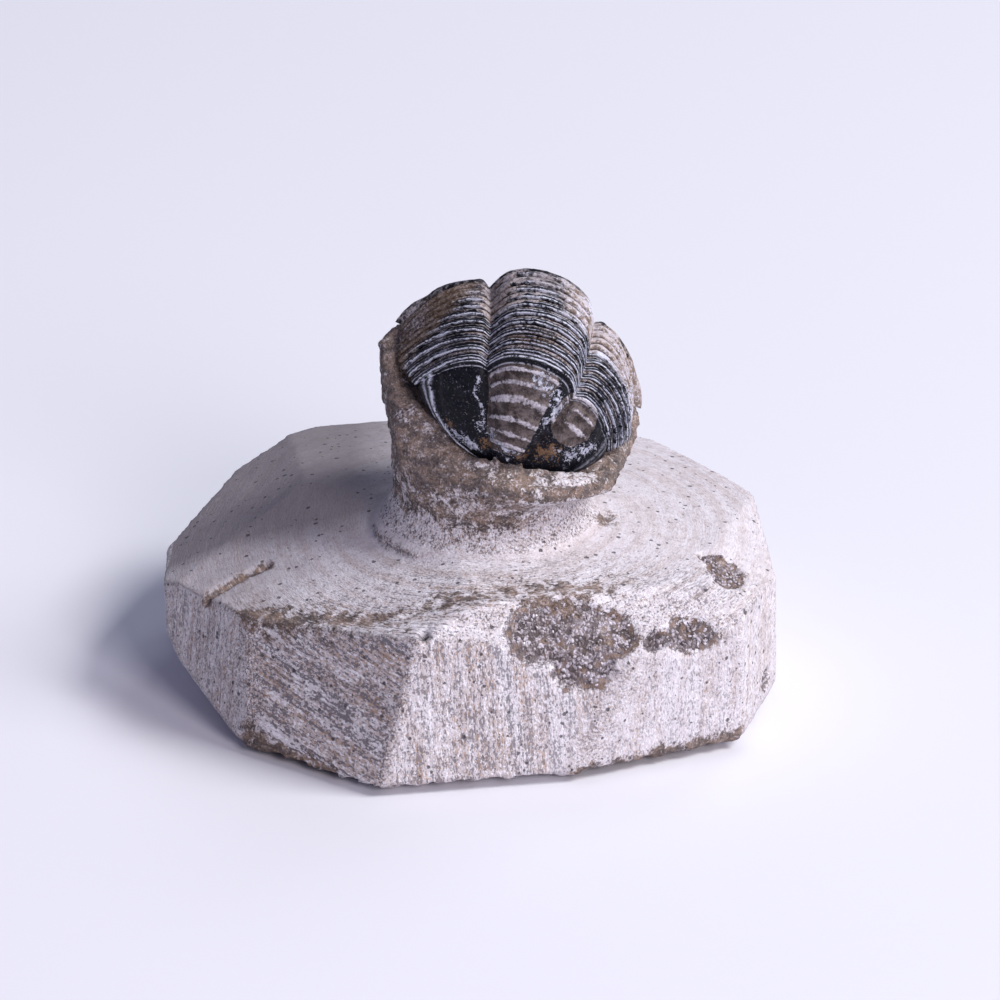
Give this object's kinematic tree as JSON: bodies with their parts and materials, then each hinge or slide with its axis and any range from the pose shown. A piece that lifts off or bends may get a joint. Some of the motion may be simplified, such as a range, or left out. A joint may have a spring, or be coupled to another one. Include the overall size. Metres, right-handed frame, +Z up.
{
  "type": "trilobite fossil",
  "caption": "Enrolled trilobite standing proud of a ground limestone block on a short neck, with its tail shield facing the front.",
  "frame": {"origin": "middle of the footprint, on the surface the block stands on", "axes": "+Z up; -Y is the side that the fossil's tail shield faces; +X is the fossil's low side"},
  "size_m": [0.0556, 0.0524, 0.0398],
  "materials": {
    "limestone": "ground, dusty, matt",
    "dark_shell": "calcite shell, satin black",
    "worn_shell": "calcite shell, worn and partly coated with stone"
  },
  "bodies": {
    "root": {"limestone_matrix": "limestone", "pygidium": "dark_shell", "thorax_segment_01": "dark_shell", "thorax_segment_02": "dark_shell", "thorax_segment_03": "dark_shell", "thorax_segment_04": "dark_shell", "thorax_segment_05": "dark_shell", "thorax_segment_06": "dark_shell", "thorax_segment_07": "dark_shell", "thorax_segment_08": "dark_shell", "thorax_segment_09": "dark_shell", "thorax_segment_10": "dark_shell", "cephalon": "worn_shell"}
  },
  "joints": []
}
